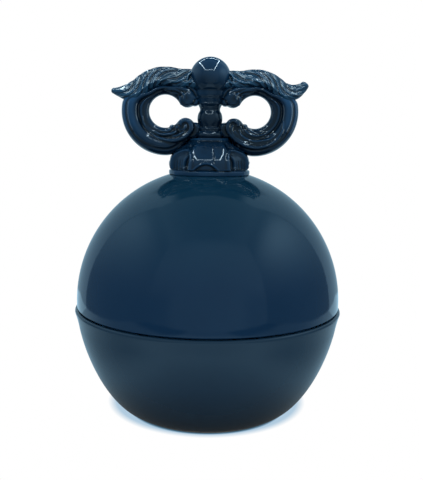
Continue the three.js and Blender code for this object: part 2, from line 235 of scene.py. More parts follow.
def glazed(name, deep, thin, gloss, edges=1.0, bare_below=None, painted_height_light=None, vein_depth=None):
    """A glossy glaze: thin and paler on edges, deep in hollows, with the faint ripple of a dipped pot. Part of
    the dark in hollows and under things is painted shade. edges is how sharply it pales there, bare_below the
    height under which the clay is wiped bare, then two heights and a tint, between which the colour takes the
    tint more and more as painted light and shade by height, and vein_depth the height of fine veins under it."""
    made = bpy.data.materials.new(name)
    made.use_nodes = True
    tree = made.node_tree
    shader = tree.nodes["Principled BSDF"]
    shader.inputs["IOR"].default_value = 1.5

    def node(kind, **settings):
        added = tree.nodes.new(kind)
        for key, value in settings.items():
            setattr(added, key, value)
        return added

    def noise(scale, detail):
        added = node("ShaderNodeTexNoise")
        added.inputs["Scale"].default_value = scale
        added.inputs["Detail"].default_value = detail
        tree.links.new(where.outputs["Object"], added.inputs["Vector"])
        return added

    def bump(strength, distance):
        added = node("ShaderNodeBump")
        added.inputs["Strength"].default_value = strength
        added.inputs["Distance"].default_value = distance
        return added

    where = node("ShaderNodeTexCoord")
    pooling_and_shade = node("ShaderNodeAttribute", attribute_name="pooling_and_shade")
    clouds = noise(45, 3)
    drift = node("ShaderNodeMath", operation="MULTIPLY_ADD")
    drift.inputs[1].default_value = 0.7
    drift.inputs[2].default_value = 0.15
    spread = node("ShaderNodeMath", operation="MULTIPLY")
    spread.inputs[1].default_value = 0.6
    level = node("ShaderNodeMath", operation="SUBTRACT", use_clamp=True)
    thinned = node("ShaderNodeMath", operation="POWER")
    thinned.inputs[1].default_value = edges
    join_nodes(tree, [
        (clouds.outputs[0], drift.inputs[0]),
        (drift.outputs[0], level.inputs[0]),
        (pooling_and_shade.outputs["Fac"], spread.inputs[0]),
        (spread.outputs[0], level.inputs[1]),
        (level.outputs[0], thinned.inputs[0]),
    ])
    colour = node("ShaderNodeMix", data_type="RGBA")
    colour.inputs[6].default_value = (*deep, 1)
    colour.inputs[7].default_value = (*thin, 1)
    tree.links.new(thinned.outputs[0], colour.inputs[0])
    surface_colour = colour.outputs[2]
    rough = node("ShaderNodeMapRange")
    rough.inputs["To Min"].default_value = gloss * 0.8
    rough.inputs["To Max"].default_value = gloss * 1.25
    tree.links.new(noise(160, 2).outputs[0], rough.inputs["Value"])
    surface_rough = rough.outputs[0]
    split = node("ShaderNodeSeparateXYZ")
    tree.links.new(where.outputs["Object"], split.inputs[0])
    if painted_height_light:
        height = node("ShaderNodeMapRange")
        height.inputs["From Min"].default_value, height.inputs["From Max"].default_value = painted_height_light[0], painted_height_light[1]
        painted_height_tint = node("ShaderNodeMix", data_type="RGBA", blend_type="MULTIPLY")
        painted_height_tint.inputs[7].default_value = (*painted_height_light[2], 1)
        join_nodes(tree, [
            (split.outputs["Z"], height.inputs["Value"]),
            (height.outputs[0], painted_height_tint.inputs[0]),
            (surface_colour, painted_height_tint.inputs[6]),
        ])
        surface_colour = painted_height_tint.outputs[2]
    if bare_below is not None:
        wiped = node("ShaderNodeMath", operation="LESS_THAN")
        wiped.inputs[1].default_value = bare_below
        clay = node("ShaderNodeMix", data_type="RGBA")
        clay.inputs[7].default_value = (*bare_clay, 1)
        dull = node("ShaderNodeMix", data_type="FLOAT")
        dull.inputs[3].default_value = bare_clay_roughness
        join_nodes(tree, [
            (split.outputs["Z"], wiped.inputs[0]),
            (wiped.outputs[0], clay.inputs[0]),
            (surface_colour, clay.inputs[6]),
            (wiped.outputs[0], dull.inputs[0]),
            (surface_rough, dull.inputs[2]),
        ])
        surface_colour = clay.outputs[2]
        surface_rough = dull.outputs[0]
    ripple = bump(0.25, 0.00012)
    grain = bump(0.12, 0.00002)
    if vein_depth:
        veins = node("ShaderNodeAttribute", attribute_name="veins")
        wave = node("ShaderNodeMath", operation="SINE")
        veined = bump(1, vein_depth)
        join_nodes(tree, [
            (veins.outputs["Fac"], wave.inputs[0]),
            (wave.outputs[0], veined.inputs["Height"]),
            (veined.outputs[0], ripple.inputs["Normal"]),
        ])
    join_nodes(tree, [
        (noise(190, 1).outputs[0], ripple.inputs["Height"]),
        (noise(1400, 2).outputs[0], grain.inputs["Height"]),
        (ripple.outputs[0], grain.inputs["Normal"]),
        (grain.outputs[0], shader.inputs["Normal"]),
        (surface_colour, shader.inputs["Base Color"]),
        (surface_rough, shader.inputs["Roughness"]),
    ])
    return made


def seat(piece, body, node, glaze):
    piece.data.materials.clear()
    piece.data.materials.append(glaze)
    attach(piece, body)
    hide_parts(node)


outside = arc(foot_radius - foot_round, foot_round, foot_round, -90, -15, 6)
for radius, height in reversed(belly(foot_radius, foot_round, ball_radius, bowl_top - lip_round, 60)):
    fade = max(0, 1 - (bowl_top - lip_round - height) / lip_fade)
    outside.append((radius + (lip_radius - ball_radius) * fade ** 2, height))
floor_top = foot_hollow + floor_thickness
recess = foot_radius - foot_width
lip_height = bowl_top - lip_round
bowl_profile = [(0, foot_hollow), (recess / 2, foot_hollow)]
bowl_profile += arc(recess - foot_hollow * 1.4, foot_hollow * 1.6, foot_hollow * 0.6, -90, -60, 4)[:-1]
bowl_profile += [(recess - foot_hollow * 0.4, foot_hollow * 0.45)]
bowl_profile += arc(recess + foot_hollow * 0.3, foot_hollow * 0.3, foot_hollow * 0.3, -170, -90, 5)
bowl_profile += [(foot_radius - foot_width / 2, 0)]
bowl_profile += outside
bowl_profile += arc(lip_radius - lip_round, lip_height, lip_round, 12, 90, 10)
bowl_profile += arc(mouth_radius + lip_round, lip_height, lip_round, 90, 172, 10)
bowl_profile += belly(foot_radius - wall, floor_top, mouth_radius, lip_height, 50)
bowl_profile += [(radius, floor_top) for radius in np.linspace(foot_radius - wall, 0, 12)[1:]]
# The bowl's glaze is darkened and made less blue from 32 mm down to 4 mm above the table: painted shade under
# the belly.
bowl_glaze = glazed("bowl_glaze", (0.0058, 0.0225, 0.0480), (0.0080, 0.0295, 0.0590), 0.16, bare_below=0.0006,
                    painted_height_light=(0.032, 0.004, (1.05, 0.72, 0.58)))
bowl = thrown("bowl_body", bowl_profile, bowl_glaze, seed=1.0)
seat(bowl, "bowl", "bowl", bowl_glaze)


# Lid
# The lid is thrown as half a ball, thin and even, and its lower edge is rounded where it meets the bowl.
# It takes the same glaze, a little thicker and glossier than on the bowl.
lid_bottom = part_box("lid_dome")[0].z
lid_inside = ball_radius - wall
lowest_angle = math.degrees(math.asin((lid_bottom + lip_round - ball_height) / ball_radius))
edge_radius = ball_radius * math.cos(math.radians(lowest_angle))
lid_profile = arc(0, ball_height, lid_inside, 90, 0, 60)
wall_heights = np.linspace(ball_height, lid_bottom + lip_round * 0.5, 5)[1:]
lid_profile += [(lid_inside, height) for height in wall_heights]
lid_profile += arc(lid_inside + lip_round * 0.5, lid_bottom + lip_round * 0.5, lip_round * 0.5, 200, 270, 5)
lid_profile += arc(edge_radius - lip_round, lid_bottom + lip_round, lip_round, -90, -8, 12)
lid_profile += arc(0, ball_height, ball_radius, lowest_angle, 90, 80)
# The lid's glaze is made greener and brighter from 85 mm up to 125 mm: painted light from above.
lid_glaze = glazed("lid_glaze", (0.0027, 0.0190, 0.0525), (0.0045, 0.0250, 0.0655), 0.075,
                   painted_height_light=(0.085, 0.125, (0.9, 1.28, 1.02)))
lid = thrown("lid_dome_shell", lid_profile, lid_glaze, waviness=0.0011, wave_size=0.04, seed=4.0)
seat(lid, "lid", "lid_dome", lid_glaze)


# Flange
# A ring of clay set inside the lid's edge before firing. It drops into the bowl's mouth and centres the lid.
# Its lowest edge is wiped bare so that it doesn't stick in the kiln.
flange_low, flange_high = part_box("lid_flange")
flange_radius = flange_high.x
flange_thickness = 0.0035
flange_round = 0.0009
flange_in = flange_radius - flange_thickness
flange_profile = arc(flange_in + flange_round, flange_low.z + flange_round, flange_round, 180, 270, 6)
flange_profile += arc(flange_radius - flange_round, flange_low.z + flange_round, flange_round, -90, 0, 6)
flange_profile += arc(flange_radius - flange_round, flange_high.z - flange_round, flange_round, 0, 90, 6)
flange_profile += arc(flange_in + flange_round, flange_high.z - flange_round, flange_round, 90, 180, 6)
flange_profile += [flange_profile[0]]
flange_glaze = glazed("flange_glaze", (0.0030, 0.0205, 0.052), (0.0050, 0.0270, 0.066), 0.12,
                      bare_below=flange_low.z + 0.0005)
flange = thrown("lid_flange_ring", flange_profile, flange_glaze, waviness=0)
seat(flange, "lid", "lid_flange", flange_glaze)


# Pedestal
# The finial's foot is pressed in a mould and stuck to the crown with slip: a four-lobed bell on a plain band.
# Between two lobes stands a hooded niche with a deep hole and a few flutes, under each lobe an arched recess.
pedestal_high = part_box("finial_pedestal")[1]
pedestal_radius = pedestal_high.x
pedestal_band = 0.0026
band_round = 0.0007
pedestal_top_radius = 0.0106
lobe_depth = 0.0036
lobes = 4
bell_shares = [(0, 0.968, 0.1), (0.1, 0.985, 0.55), (0.27, 0.985, 0.7), (0.44, 0.95, 0.85), (0.6, 0.85, 0.8),
               (0.75, 0.69, 0.5), (0.88, 0.55, 0.2), (1, pedestal_top_radius / pedestal_radius, 0)]
lobe_shares = [(0, 0.968), (0.1, 0.966), (0.2, 0.954), (0.3, 0.934), (0.4, 0.899), (0.5, 0.849), (0.6, 0.783),
               (0.7, 0.699), (0.8, 0.596), (0.9, 0.440), (1, 0.435)]
# Heights up the bell are shares of its height, and places round it are degrees from a side or a lobe's middle
lobe_edge, lobe_fade, lobe_flat = 26, 14, 0.35
hood_top, hood_shoulder, hood_reach, hood_middle = 0.62, 0.3, 20, 41
hood_thickness, niche_depth = 0.0008, 0.0010
hole_middle, hole_half_width, hole_height, hole_half_height, hole_depth = 50, 8.5, 0.22, 0.27, 0.0019
flute_depth, flute_pitch = 0.00035, 5.0
arch_top, arch_reach, arch_depth, arch_lean = 0.22, 18, 0.0014, 5
arch_rim, arch_rim_height, arch_rim_width = 0.0003, 0.035, 0.022
hump_pitch, hump_shift, hump_depth = 0.006, 0.0019, 0.00006
crease_place, crease_width, crease_depth = 7, 1.3, 0.0003


def ease(start, end, value):
    share = np.clip((value - start) / (end - start), 0, 1)
    return share * share * (3 - 2 * share)


def drawn_through(points, count):
    """A smooth line through a few given points."""
    given = np.array(points, float)
    given = np.concatenate([[2 * given[0] - given[1]], given, [2 * given[-1] - given[-2]]])
    place = np.linspace(0, len(given) - 3, count)
    first = np.minimum(place.astype(int), len(given) - 4)
    t = (place - first)[:, None]
    a, b, c, d = (given[first + k] for k in range(4))
    return (2 * b + (c - a) * t + (2 * a - 5 * b + 4 * c - d) * t ** 2 + (3 * b - a - 3 * c + d) * t ** 3) / 2


def skin(rings):
    """Points and faces of a skin over rings with equally many points, closed in the middle at each end."""
    rings = np.array(rings, float)
    rows, sides = rings.shape[:2]
    points = [tuple(p) for p in rings.reshape(-1, 3)]
    faces = []
    for row in range(rows - 1):
        for side in range(sides):
            near, far = row * sides + side, row * sides + (side + 1) % sides
            faces.append((near, far, far + sides, near + sides))
    for row, turned_over in ((0, True), (rows - 1, False)):
        hub = len(points)
        points.append(tuple(rings[row].mean(0)))
        for side in range(sides):
            near, far = row * sides + side, row * sides + (side + 1) % sides
            faces.append((hub, far, near) if turned_over else (hub, near, far))
    return points, faces


def pool_and_shade_glaze(mesh, rounds, reach, palest, painted_facing_shade, thicker=0.0):
    """Marks hollows with a positive value and edges with a negative one, for the glaze to read: the glaze
    gathers in hollows, and part of the dark there is painted shade. It also marks faces that look down darker
    and faces that look up paler, as painted shade and painted light. thicker adds to it, everywhere the same or
    by a rule."""
    count = len(mesh.vertices)
    place, outward = np.empty(count * 3), np.empty(count * 3)
    mesh.vertices.foreach_get("co", place)
    mesh.vertices.foreach_get("normal", outward)
    ends = np.empty(len(mesh.edges) * 2, int)
    mesh.edges.foreach_get("vertices", ends)
    place, outward, ends = place.reshape(-1, 3), outward.reshape(-1, 3), ends.reshape(-1, 2)
    both = np.concatenate([ends[:, 0], ends[:, 1]])
    other = np.concatenate([ends[:, 1], ends[:, 0]])
    near = np.maximum(np.bincount(both, minlength=count), 1)

    def averaged(values):
        sums = [np.bincount(both, values[other, k], count) for k in range(values.shape[1])]
        return np.stack(sums, 1) / near[:, None]

    eased = place
    for _ in range(rounds):
        eased = averaged(eased)
    hollow = ((eased - place) * outward).sum(1, keepdims=True) / reach
    hollow = np.clip(averaged(averaged(hollow))[:, 0], -palest, 1) - painted_facing_shade * outward[:, 2]
    hollow += thicker(place) if callable(thicker) else thicker
    mesh.attributes.new("pooling_and_shade", "FLOAT", "POINT").data.foreach_set("value", hollow.astype(np.float32))


seat_radius = ball_radius + 0.0001
pedestal_edge = ball_height + math.sqrt(seat_radius ** 2 - pedestal_radius ** 2)
band_top = pedestal_edge + pedestal_band
turn = np.linspace(-math.pi, math.pi, 481)[:-1]
lobe_groove = np.abs(np.sin(lobes / 2 * (turn - math.pi / 2))) ** 6
from_side = np.degrees(np.arctan2(np.abs(np.sin(turn)), np.abs(np.cos(turn))))
from_lobe = np.mod(np.degrees(turn) + 45, 90) - 45
bell_line = drawn_through(bell_shares, 200)
lobe_line = drawn_through(lobe_shares, 200)


def bell_relief(share):
    """How far the bell's face stands out, all the way round, at a share of its height."""
    raised = max(0, share - hood_shoulder) / (hood_top - hood_shoulder)
    away = np.hypot((from_side - hood_middle) / hood_reach, raised)
    inside = 1 - ease(0.6, 1.0, away)
    hood = hood_thickness * np.exp(-((away - 1.06) / 0.13) ** 2)
    hole_across = (from_side - hole_middle) / hole_half_width
    hole_up = (share - hole_height) / hole_half_height
    hole = 1 - ease(0.5, 1.0, np.hypot(hole_across, hole_up))
    pleats = (1 + np.cos(2 * math.pi * from_side / flute_pitch)) / 2
    flutes = inside * (1 - ease(38, 44, from_side)) * (1 - ease(0.24, 0.36, share)) * pleats
    from_arch = from_lobe + arch_lean
    arch = arch_top * (1 - (from_arch / arch_reach) ** 2)
    under = (1 - ease(-0.035, 0.01, share - arch)) * (arch > 0)
    near_arch = np.abs(from_arch) < arch_reach * 1.15
    rim = np.exp(-((share - arch - arch_rim_height) / arch_rim_width) ** 2) * near_arch
    hump_place = np.radians(from_lobe) * pedestal_radius - hump_shift
    humps = (1 + np.cos(2 * math.pi * hump_place / hump_pitch)) / 2 * (1 - ease(18, 26, np.abs(from_lobe)))
    humps *= ease(0.35, 0.6, share) * (1 - ease(0.85, 0.97, share))
    on_lobe = (1 - ease(lobe_edge, lobe_edge + lobe_fade, np.abs(from_lobe))) * (np.abs(np.sin(turn)) > 0.7)
    flatter = lobe_flat * (1 + 1.6 * share) * (1 / np.cos(np.radians(from_lobe)) - 1)
    lobe_share = np.interp(share, lobe_line[:, 0], lobe_line[:, 1]) * (1 + flatter)
    drawn_in = on_lobe * (np.interp(share, bell_line[:, 0], bell_line[:, 1]) - lobe_share) * pedestal_radius
    crease = np.exp(-((from_lobe - crease_place) / crease_width) ** 2)
    crease *= ease(0.2, 0.3, share) * (1 - ease(0.7, 0.85, share))
    relief = hood - niche_depth * inside - hole_depth * hole - flute_depth * flutes - hump_depth * humps
    relief += arch_rim * rim - arch_depth * under - crease_depth * crease - drawn_in
    return relief * ease(0.0, 0.05, share)


def pedestal_ring(radius, height):
    radius = np.broadcast_to(radius, turn.shape)
    height = np.broadcast_to(height, turn.shape)
    return np.stack([radius * np.cos(turn), radius * np.sin(turn), height], 1)


pedestal_rings = []
for radius in np.linspace(0.002, pedestal_radius - 0.0006, 10):
    pedestal_rings.append(pedestal_ring(radius, ball_height + math.sqrt(seat_radius ** 2 - radius ** 2)))
for radius, height in arc(pedestal_radius - band_round, pedestal_edge + band_round, band_round, -70, 0, 4):
    pedestal_rings.append(pedestal_ring(radius, height))
for radius, height in arc(pedestal_radius - band_round, band_top - band_round, band_round, 0, 75, 5):
    pedestal_rings.append(pedestal_ring(radius, height))
for share in np.linspace(0.006, 1, 107):
    radius = np.interp(share, bell_line[:, 0], bell_line[:, 1]) * pedestal_radius
    cut = np.interp(share, bell_line[:, 0], bell_line[:, 2]) * lobe_depth
    pedestal_rings.append(pedestal_ring(radius - cut * lobe_groove + bell_relief(share),
                                        band_top + (pedestal_high.z - band_top) * share))
finial_glaze = glazed("finial_glaze", (0.0002, 0.0026, 0.0080), (0.0075, 0.0500, 0.1300), 0.06, edges=2.0)
points, faces = skin(pedestal_rings)
bell_mesh = bpy.data.meshes.new("finial_pedestal_bell")
bell_mesh.from_pydata(points, [], faces)
bell_mesh.shade_smooth()
pedestal = bpy.data.objects.new("finial_pedestal_bell", bell_mesh)
bpy.context.scene.collection.objects.link(pedestal)
pool_and_shade_glaze(bell_mesh, 16, 0.0004, palest=0.35, painted_facing_shade=0)
seat(pedestal, "lid", "finial_pedestal", finial_glaze)


# Stem
# A short turned stem: a flared foot, a ring, a swelling bulb and a narrow neck under the knob.
# It is turned leather-hard and joined to the pedestal and the knob with slip, so the joints are filled.
stem_low, stem_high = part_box("finial_stem")
stem_joint = 0.0006
neck_radius = 0.0070
stem_shares = [(0.00, 0.0079), (0.04, 0.0083), (0.09, 0.0084), (0.14, 0.0080), (0.18, 0.0073), (0.20, 0.0069),
               (0.23, 0.0071), (0.26, 0.0072), (0.29, 0.0070), (0.32, 0.0063), (0.36, 0.0064), (0.42, 0.0067),
               (0.50, 0.0070), (0.60, 0.0070), (0.69, 0.0067), (0.75, 0.0062), (0.80, 0.0057), (0.86, 0.0057),
               (0.93, 0.0062), (1.00, neck_radius)]
stem_profile = [(0, stem_low.z - stem_joint), (stem_shares[0][1] * 0.97, stem_low.z - stem_joint)]
for share, radius in drawn_through(stem_shares, 110):
    stem_profile.append((radius, stem_low.z + (stem_high.z - stem_low.z) * share))
stem_end = stem_high.z + stem_joint * 1.6
stem_profile += [(neck_radius, stem_end), (0, stem_end)]
stem = thrown("finial_stem_turned", stem_profile, finial_glaze, waviness=0.01, wave_size=0.01, seed=2.0,
              sides=140)
pool_and_shade_glaze(stem.data, 16, 0.0005, palest=0, painted_facing_shade=0.25, thicker=0.2)
seat(stem, "lid", "finial_stem", finial_glaze)


# Knob
# The knob is a hollow ball drawn in below to the stem's neck, like an onion standing on its root.
# The hand takes hold of it and the scrolls beside it to lift the lid.
knob_low, knob_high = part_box("finial_knob")
knob_radius = 0.0114
knob_middle = knob_high.z - knob_radius
knob_ball = arc(0, knob_middle, knob_radius, -38, 90, 70)
shoulder_radius, shoulder_height = knob_ball[0]
knob_neck = [(neck_radius * 0.94, knob_low.z)]
for out, up in ((0.0001, 0.0008), (0.0007, 0.0028), (0.0015, 0.0045)):
    knob_neck.append((neck_radius + out, knob_low.z + up))
# The line runs on to a point of the ball, so that it meets the shoulder at the ball's slope, and is cut there
knob_neck += [(shoulder_radius, shoulder_height), knob_ball[3]]
knob_neck_line = drawn_through(knob_neck, 61)[:49]
knob_profile = [(0, knob_low.z)] + [tuple(p) for p in knob_neck_line] + knob_ball[1:]
knob = thrown("finial_knob_ball", knob_profile, finial_glaze, waviness=0.004, wave_size=0.016, seed=6.0,
              sides=140)
pool_and_shade_glaze(knob.data, 10, 0.0005, palest=0.1, painted_facing_shade=0.6)
seat(knob, "lid", "finial_knob", finial_glaze)


# Scrolls
# Each is a C pressed in a mould: a rounded band in three rolls that ends in a hook beside the stem and hangs in
# a small curl beside the knob. Ribs run from the hook along the loop. Slip joins it to the stem and the knob.
scroll_reach = 0.025
scroll_middle = pedestal_high.z + 0.0146
loop_radius = 0.0091
scroll_width, scroll_depth = 0.0155, 0.013
arch_width, arch_share = 0.006, 0.8
upper_spread = 0.0065
lower_end, upper_end, upper_tuck = -137, 150, 8
lower_curl, upper_curl = 0.0056, 0.0052
lower_face, upper_face = 0.0053, 0.0058
fillet_radius, fillet_face = 0.0042, 0.0031
fillet_places = [(2.3, 0.75), (2.0, 1.0)]
heel_radius = 0.0025
bead_radius, bead_half_length = 0.0016, 0.0042
clay_grain = 0.0003
groove_fill, filled_groove, filled_width = 0.12, 0.62, 0.07
# scroll_glaze thickens the scrolls' glaze all over; the second number pales the outer roll's upper half, a
# painted highlight.
scroll_glaze, scroll_highlight_paling = 0.28, 0.56
across_shares = [(-1, 0), (-0.98, 0.26), (-0.93, 0.42), (-0.83, 0.53), (-0.71, 0.58), (-0.6, 0.61),
                 (-0.51, 0.66), (-0.42, 0.69), (-0.33, 0.60), (-0.25, 0.62), (-0.12, 0.84), (0.06, 0.97),
                 (0.25, 1.0), (0.42, 0.95), (0.54, 0.84), (0.61, 0.75), (0.7, 0.79), (0.82, 0.72), (0.93, 0.46),
                 (1, 0)]
# Crests of the coils on the scrolls' faces in millimetres: out from the stem's axis, up from the loop's middle
mm = 0.001
hooks = {
    "left": [(37.6, -3), (37.2, -6), (35.6, -9.5), (32.8, -12.6), (29, -14.8), (24.3, -16), (19.5, -16.2),
             (15.3, -14.8), (12, -12.2), (10.4, -9.4), (11.1, -6.4), (13.4, -5), (15.8, -5.9), (16.8, -7.6)],
    "right": [(40.8, -5), (40.4, -10), (37, -15.2), (31.9, -18.4), (26.6, -19.6), (21.5, -19), (16.8, -17),
              (13.2, -14.2), (10.6, -11), (10, -8), (11.2, -5.6), (13.4, -5), (15.4, -6.2), (16, -8)],
}
ribs = {
    "left": [[(13.4, -7.4), (13.9, -9.6), (17, -10.8)],
             [(14.6, -11.6), (17.6, -13.4), (21.6, -14.4), (26, -14.2)],
             [(18.6, -11.2), (21.8, -12.6), (27.3, -12.8), (31, -11)],
             [(17.8, -8.6), (19.4, -10)],
             [(21.4, -9.8), (24, -11), (27.4, -10.8)]],
    "right": [[(12.6, -7.6), (12, -10.4), (14, -13.8), (19, -16.8), (24.4, -17.6)],
              [(20.3, -8.4), (22.3, -10.4), (26, -11.8), (31, -10.8)],
              [(18.9, -8.7), (20.8, -11.4), (25.6, -13.2), (32.2, -12)],
              [(17.5, -9.2), (19.4, -12.4), (25, -14.7), (33, -13.2), (35.6, -11)],
              [(16.2, -9.9), (18, -13.4), (24.4, -16.2), (32.6, -15), (36.2, -12.6)]],
}
bead_angles = {"left": -113, "right": -123}
arch_lines = [[(31, 9.2), (28, 10.9), (24.5, 11.7), (20.5, 11.8), (17.4, 11), (15.2, 9.6), (14.2, 7.8),
               (14.6, 6.2)],
              [(18.2, 9), (16.8, 7.6), (16.4, 5.6), (15.5, 3.9), (13, 2.9), (10.8, 3.6)]]
hook_thickness = [0.3, 0.7, 0.9, 1.0, 1.1, 1.25, 1.4, 1.4, 1.3, 1.1]
rib_thickness = [0.6, 0.9, 0.85, 0.75, 0.5, 0.2]
arch_thickness = [0.3, 0.6, 0.75, 0.75, 0.4]
rib_sink = 0.1


def on_ring(angle, distance):
    """A point of the right-hand scroll beside the stem's axis and above the table."""
    angle = math.radians(angle)
    return scroll_reach + distance * math.cos(angle), scroll_middle + distance * math.sin(angle)


lower_middle = on_ring(lower_end - 5, loop_radius + lower_curl * 0.95)
upper_middle = on_ring(upper_end, loop_radius + upper_curl)
cakes = [(lower_middle, lower_curl - 0.0002, lower_face), (upper_middle, upper_curl - 0.0002, upper_face)]
section = drawn_through(across_shares, 120)
thinnest_face = 0.002


def band_size(angle):
    under = 1 - ease(lower_end, lower_end + 45, angle)
    over = ease(10, 54, angle)
    width = scroll_width + (arch_width - scroll_width) * over - under * scroll_width / 4
    width += ease(95, upper_end, angle) * upper_spread
    depth = scroll_depth * (1 + (arch_share - 1) * over) - under * scroll_depth / 10
    return width, depth


def band_face(angle, distance):
    """Half the band's thickness at a distance from the middle of the loop."""
    width, depth = band_size(angle)
    across = np.clip((distance - loop_radius) / width * 2 - 1, -1, 1)
    filled = groove_fill * np.exp(-((across - filled_groove) / filled_width) ** 2) * (1 - ease(-72, -40, angle))
    return (np.interp(across, section[:, 0], section[:, 1]) + filled) * depth / 2


def scroll_face(x, z):
    """Half the scroll's thickness at a place beside the stem: its band's or a curl's, whichever is thicker."""
    away = math.hypot(x - scroll_reach, z - scroll_middle)
    angle = math.degrees(math.atan2(z - scroll_middle, x - scroll_reach))
    thickest = thinnest_face
    if lower_end <= angle <= upper_end + upper_tuck:
        thickest = max(thickest, float(band_face(angle, away)))
    for middle, radius, face in cakes:
        share = math.hypot(x - middle[0], z - middle[1]) / radius
        if share < 1:
            thickest = max(thickest, face * (1 - share ** 3.6) ** 0.4)
    return thickest


def band_rings(side):
    rings = []
    for angle in np.linspace(lower_end, upper_end + upper_tuck, 220):
        width = band_size(angle)[0]
        distances = loop_radius + width * (section[:, 0] + 1) / 2
        faces = band_face(angle, distances)
        front = [(*on_ring(angle, d), -h) for d, h in zip(distances, faces)]
        back = [(*on_ring(angle, d), h) for d, h in zip(distances[::-1], faces[::-1])]
        rings.append([(side * x, y, z) for x, z, y in front + back[1:-1]])
    return rings


def cake_rings(side, middle, radius, half_depth):
    """A thick round cake of clay, standing on its edge, with well rounded rims."""
    rings = []
    around = np.linspace(0, 2 * math.pi, 81)[:-1]
    for slope in np.radians(np.linspace(-90, 90, 41)):
        out = radius * abs(math.cos(slope)) ** 0.55
        face = half_depth * math.copysign(abs(math.sin(slope)) ** 0.8, slope)
        rings.append([(side * (middle[0] + out * math.cos(a)), face, middle[1] + out * math.sin(a))
                      for a in around])
    return rings


def laid_on(points, side, face, thickness, sink=0.0):
    """A coil of clay laid on the scroll's face, its thickness growing and running out along it."""
    line = drawn_through([(x * mm, z * mm + scroll_middle) for x, z in points], 14 * len(points))
    level = np.array([scroll_face(x, z) for x, z in line])
    level = np.convolve(np.pad(level, 6, mode="edge"), np.ones(13) / 13, mode="valid")
    radii = np.interp(np.linspace(0, 1, len(line)), np.linspace(0, 1, len(thickness)), thickness) * mm
    return [(side * x, face * (deep - sink * mm), z) for (x, z), deep in zip(line, level)], radii


def clay_roller():
    """Rolls a round coil of clay along each line of the mesh, as thick as its "thickness" says."""
    tree = bpy.data.node_groups.new("clay_roller", "GeometryNodeTree")
    face = tree.interface
    face.new_socket("Lines", in_out="INPUT", socket_type="NodeSocketGeometry")
    face.new_socket("Sides", in_out="INPUT", socket_type="NodeSocketInt")
    face.new_socket("Glaze", in_out="INPUT", socket_type="NodeSocketMaterial")
    face.new_socket("Coils", in_out="OUTPUT", socket_type="NodeSocketGeometry")
    given = tree.nodes.new("NodeGroupInput")
    lines = tree.nodes.new("GeometryNodeMeshToCurve")
    circle = tree.nodes.new("GeometryNodeCurvePrimitiveCircle")
    circle.inputs["Radius"].default_value = 1
    thickness = tree.nodes.new("GeometryNodeInputNamedAttribute")
    thickness.data_type = "FLOAT"
    thickness.inputs["Name"].default_value = "thickness"
    coil = tree.nodes.new("GeometryNodeCurveToMesh")
    coil.inputs["Fill Caps"].default_value = True
    real = tree.nodes.new("GeometryNodeRealizeInstances")
    coat = tree.nodes.new("GeometryNodeSetMaterial")
    out = tree.nodes.new("NodeGroupOutput")
    join_nodes(tree, [
        (given.outputs["Lines"], lines.inputs["Mesh"]),
        (given.outputs["Sides"], circle.inputs["Resolution"]),
        (lines.outputs[0], coil.inputs["Curve"]),
        (circle.outputs[0], coil.inputs["Profile Curve"]),
        (thickness.outputs["Attribute"], coil.inputs["Scale"]),
        (coil.outputs[0], real.inputs[0]),
        (real.outputs[0], coat.inputs["Geometry"]),
        (given.outputs["Glaze"], coat.inputs["Material"]),
        (coat.outputs[0], out.inputs["Coils"]),
    ])
    return tree


roller = clay_roller()


def rolled(name, coils, glaze):
    """Coils of clay, each a pair of a line of points and the thickness (a radius) at each point."""
    points, edges, thickness = [], [], []
    for line, radii in coils:
        first = len(points)
        points += [tuple(p) for p in line]
        thickness += list(radii)
        edges += [(i, i + 1) for i in range(first, len(points) - 1)]
    drawn = from_lines(name, points, edges)
    drawn.data.attributes.new("thickness", "FLOAT", "POINT").data.foreach_set("value", thickness)
    rolling = drawn.modifiers.new("roller", "NODES")
    rolling.node_group = roller
    set_inputs(rolling, {"Sides": 16, "Glaze": glaze})
    return settled(drawn, name)


def pressed(name, shells, coils, grain, eased, glaze, thicker=0.0):
    """Presses solid shells and rolled coils into one body of clay and smooths the joins with a wet brush."""
    rolls = rolled(name + "_coils", coils, glaze)
    coil_points = [tuple(v.co) for v in rolls.data.vertices]
    coil_faces = [tuple(face.vertices) for face in rolls.data.polygons]
    bpy.data.objects.remove(rolls)
    points, faces = [], []
    for shell_points, shell_faces in shells + [(coil_points, coil_faces)]:
        first = len(points)
        points += shell_points
        faces += [tuple(first + i for i in face) for face in shell_faces]
    mesh = bpy.data.meshes.new(name + "_clay")
    mesh.from_pydata(points, [], faces)
    clay = bpy.data.objects.new(name + "_clay", mesh)
    bpy.context.scene.collection.objects.link(clay)
    press = clay.modifiers.new("press", "REMESH")
    press.mode = "VOXEL"
    press.voxel_size = grain
    press.use_smooth_shade = True
    brush = clay.modifiers.new("brush", "SMOOTH")
    brush.factor = 0.5
    brush.iterations = eased
    piece = settled(clay, name)
    pool_and_shade_glaze(piece.data, 14, 0.00020, palest=0.45, painted_facing_shade=0.45, thicker=thicker)
    return piece


def painted_roll_highlight(place):
    """The glaze is thick all over the scroll; on the outer roll's upper half it is paler, as a painted
    highlight.
    """
    beside, above = np.abs(place[:, 0]) - scroll_reach, place[:, 2] - scroll_middle
    outer = ease(0.35, 0.6, (np.hypot(beside, above) - loop_radius) / scroll_width)
    outer *= ease(-0.9, -0.3, above / (2 * loop_radius)) * ease(-0.5, 0.5, beside / loop_radius)
    return scroll_glaze - scroll_highlight_paling * outer


